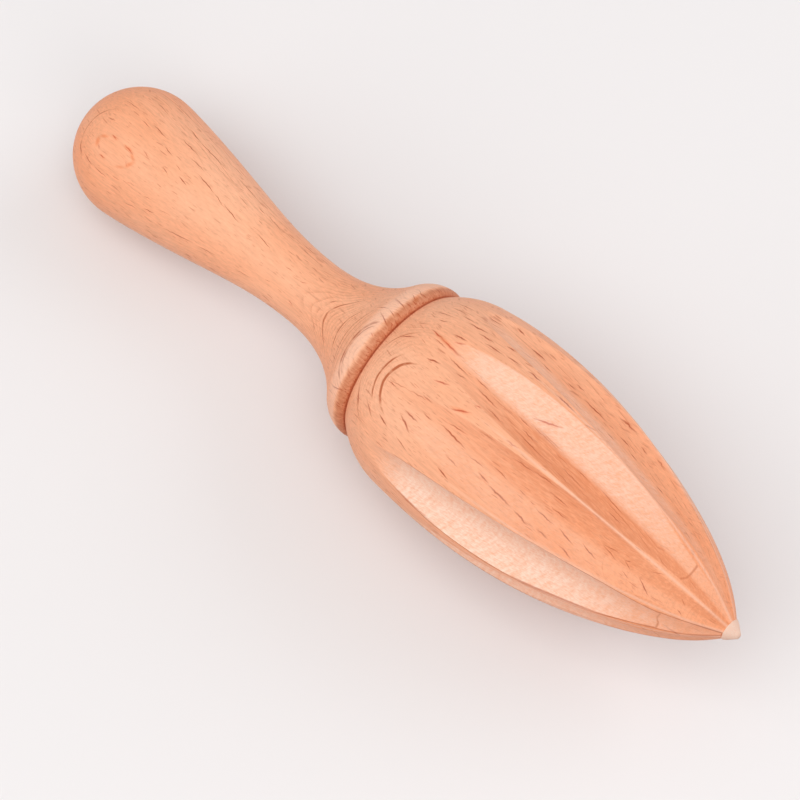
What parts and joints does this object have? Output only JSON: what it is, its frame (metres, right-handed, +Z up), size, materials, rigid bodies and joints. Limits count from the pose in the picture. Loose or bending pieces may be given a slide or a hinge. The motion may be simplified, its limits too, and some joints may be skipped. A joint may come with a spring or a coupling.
{
  "type": "wooden citrus reamer",
  "caption": "Turned beech hand reamer: pear-shaped handle, bead and a fluted ogive head that presses and twists juice from a halved citrus fruit.",
  "frame": {"origin": "on the surface that the reamer lies on, under the middle of its bounding box", "axes": "+X from the butt of the handle towards the tip of the head, +Z up as it lies on a table; its own axis rises towards the tip by about 5 degrees in the XZ plane"},
  "size_m": [0.1616, 0.0412, 0.0411],
  "materials": {
    "beech": "smooth-sanded, bare beech, with raw cutter marks in the flutes and a raw nib at the tip"
  },
  "bodies": {
    "root": {"turned_beech_body": "beech"}
  },
  "joints": []
}
